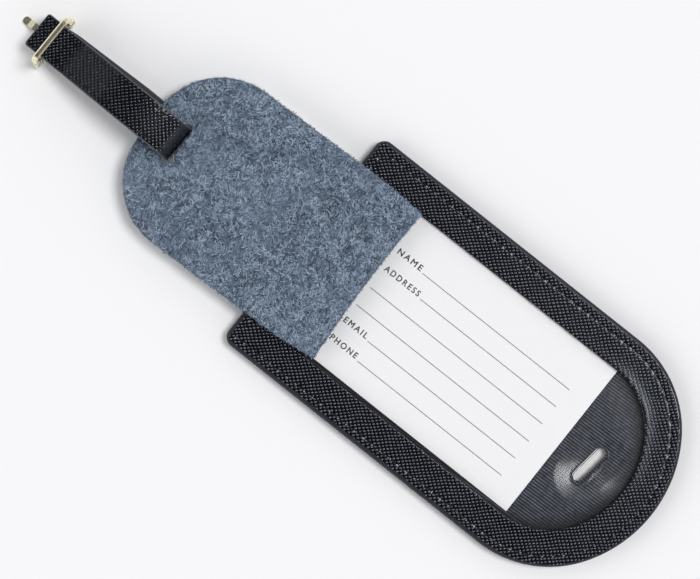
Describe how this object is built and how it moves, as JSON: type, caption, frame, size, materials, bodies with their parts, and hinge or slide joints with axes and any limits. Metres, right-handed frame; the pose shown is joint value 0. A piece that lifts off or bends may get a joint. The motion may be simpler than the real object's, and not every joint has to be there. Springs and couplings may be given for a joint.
{
  "type": "luggage tag",
  "caption": "Leather luggage tag: a sleeve with an arched clear window, a sliding address card under a felt pull tab, and a buckled strap.",
  "frame": {"origin": "middle of the sleeve's back face, on the surface that the tag lies on", "axes": "+X along the tag from the pocket's mouth to the sleeve's round end, +Y across it, +Z out of the window side"},
  "size_m": [0.2362, 0.0762, 0.0139],
  "materials": {
    "grained_leather": "cross-grain print, satin",
    "grained_strap": "cross-grain print, satin",
    "strap_back": "smooth, matt",
    "edge_paint": "smooth, satin",
    "board": "matt",
    "ribbed_lining": "fine ribbed weave",
    "clear_film": "clear, glossy",
    "wool_felt": "heathered felt",
    "printed_card": "smooth, matt",
    "polished_brass": "polished"
  },
  "bodies": {
    "sleeve": {"back_leather": "grained_leather", "back_stiffener": "board", "lining_panel": "ribbed_lining", "window_film": "clear_film", "front_backing": "board", "front_leather": "grained_leather", "edge_coat": "edge_paint"},
    "insert": {"felt_tab": "wool_felt", "id_card": "printed_card"},
    "strap": {"strap_leather": "grained_strap", "strap_lining": "strap_back"},
    "buckle": {"buckle_frame": "polished_brass", "heel_bar": "polished_brass"},
    "prong": {"buckle_prong": "polished_brass"}
  },
  "joints": [
    {"name": "insert_slide", "type": "slide", "parent": "sleeve", "child": "insert", "axis": [-1, 0, 0], "range_m": [-0.011, 0.1]},
    {"name": "strap_swing", "type": "hinge", "parent": "insert", "child": "strap", "pos_m": [-0.1117, -0.0011, 0.00605], "axis": [0.0152, 0.9999, 0], "range_deg": [0, 12]},
    {"name": "buckle_swing", "type": "hinge", "parent": "strap", "child": "buckle", "pos_m": [-0.1587, -0.00039, 0.00275], "axis": [0.0152, 0.9999, 0], "range_deg": [-40, 40]},
    {"name": "prong_swing", "type": "hinge", "parent": "strap", "child": "prong", "pos_m": [-0.1587, -0.00039, 0.00275], "axis": [0.0152, 0.9999, 0], "range_deg": [-35, 24]}
  ]
}
